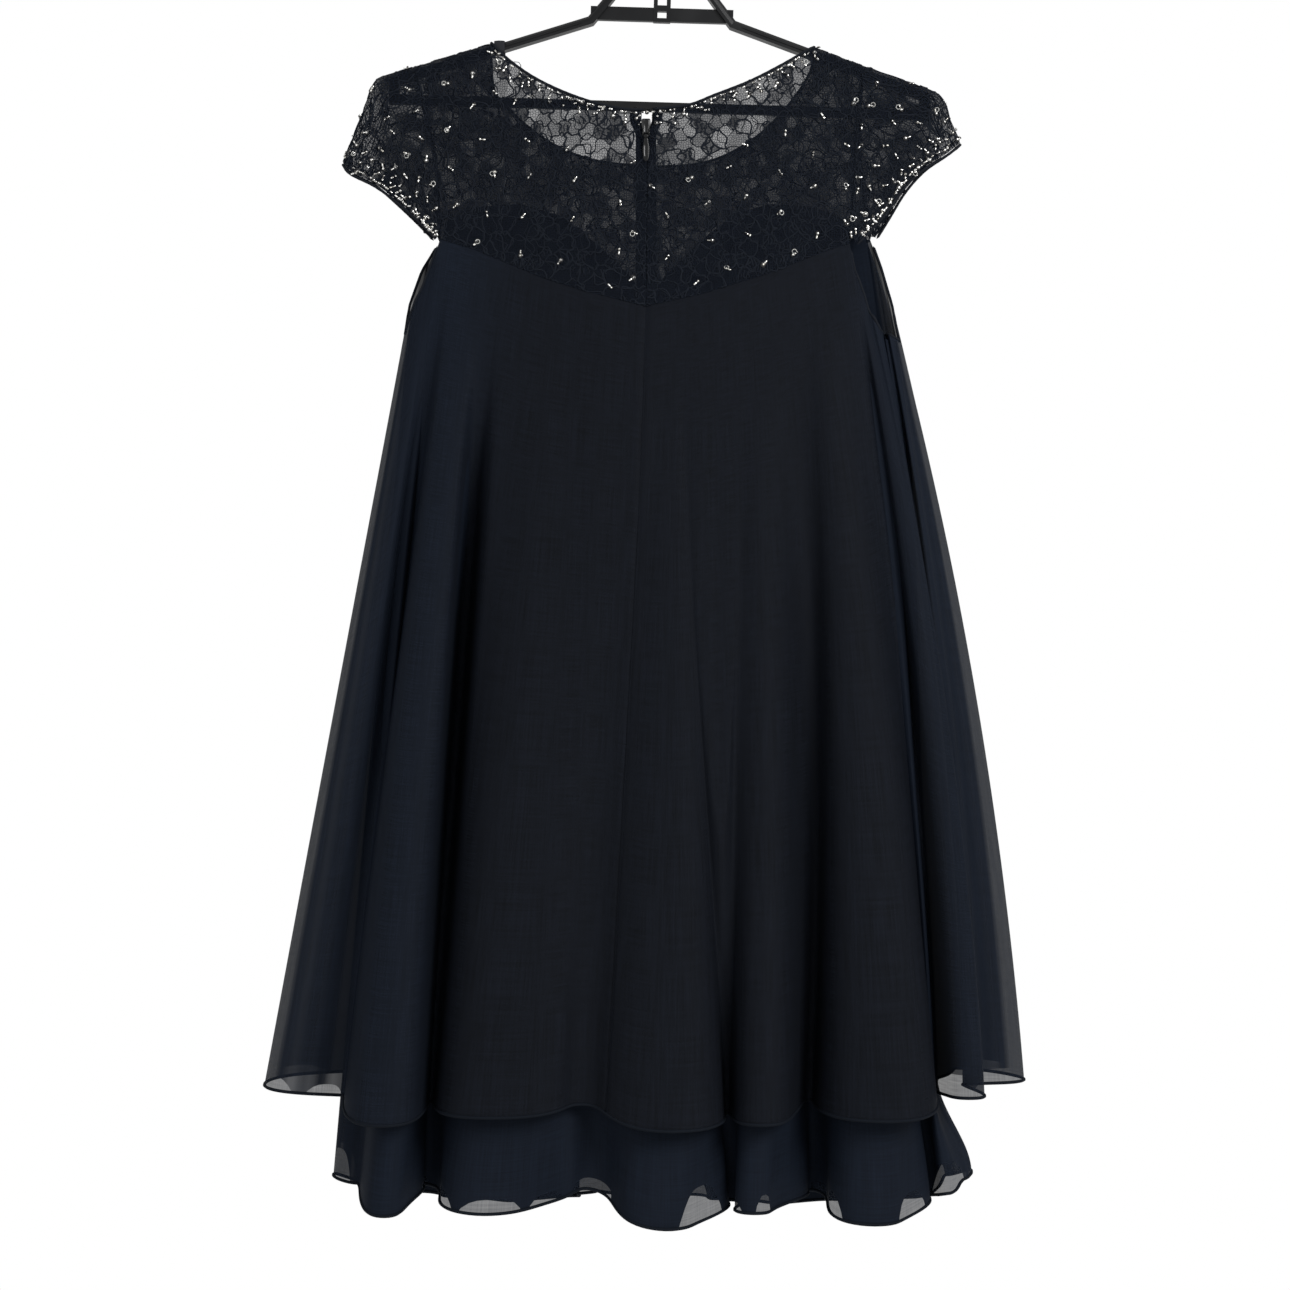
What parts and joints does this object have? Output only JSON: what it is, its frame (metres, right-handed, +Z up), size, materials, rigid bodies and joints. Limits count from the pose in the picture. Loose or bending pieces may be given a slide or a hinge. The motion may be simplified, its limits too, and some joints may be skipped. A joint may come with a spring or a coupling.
{
  "type": "cocktail dress on a hanger",
  "caption": "Black trapeze cocktail dress with a sheer beaded lace yoke, cap sleeves, two fluted skirt layers and a back zip, hung on a plain hanger.",
  "frame": {"origin": "inside top of the hanger's hook, where the rail touches it", "axes": "+Z up, the dress's front faces +Y and its zipped back faces -Y, +X is to the right seen from the back"},
  "size_m": [0.6088, 0.204, 1.1081],
  "materials": {
    "lace": "fine black net filled with corded floral lace, with beads",
    "chiffon": "sheer crinkled black chiffon",
    "lining": "soft black lining cloth",
    "binding": "narrow black self binding",
    "tape": "woven black tape",
    "painted_metal": "black enamelled metal",
    "wire": "black japanned wire",
    "plastic": "black moulded plastic, satin"
  },
  "bodies": {
    "dress": {"yoke_back_left": "lace", "yoke_back_right": "lace", "yoke_front": "lace", "sleeve_left": "lace", "sleeve_right": "lace", "outer_back_left": "chiffon", "outer_back_right": "chiffon", "outer_front": "chiffon", "under_back_left": "lining", "under_back_right": "lining", "under_front": "lining", "neck_binding": "binding", "sleeve_binding_left": "binding", "sleeve_binding_right": "binding", "armhole_binding_left": "binding", "armhole_binding_right": "binding", "zip_tape_left": "tape", "zip_tape_right": "tape", "shoulder_tab": "tape", "zip_slider": "painted_metal", "hook_and_eye": "wire", "hanger": "plastic"},
    "zip_pull": {"zip_pull": "painted_metal"}
  },
  "joints": [
    {"name": "pull_swing", "type": "hinge", "parent": "dress", "child": "zip_pull", "pos_m": [-0.0168, -0.0196, -0.2366], "axis": [-1, 0, 0], "range_deg": [0, 160]}
  ]
}
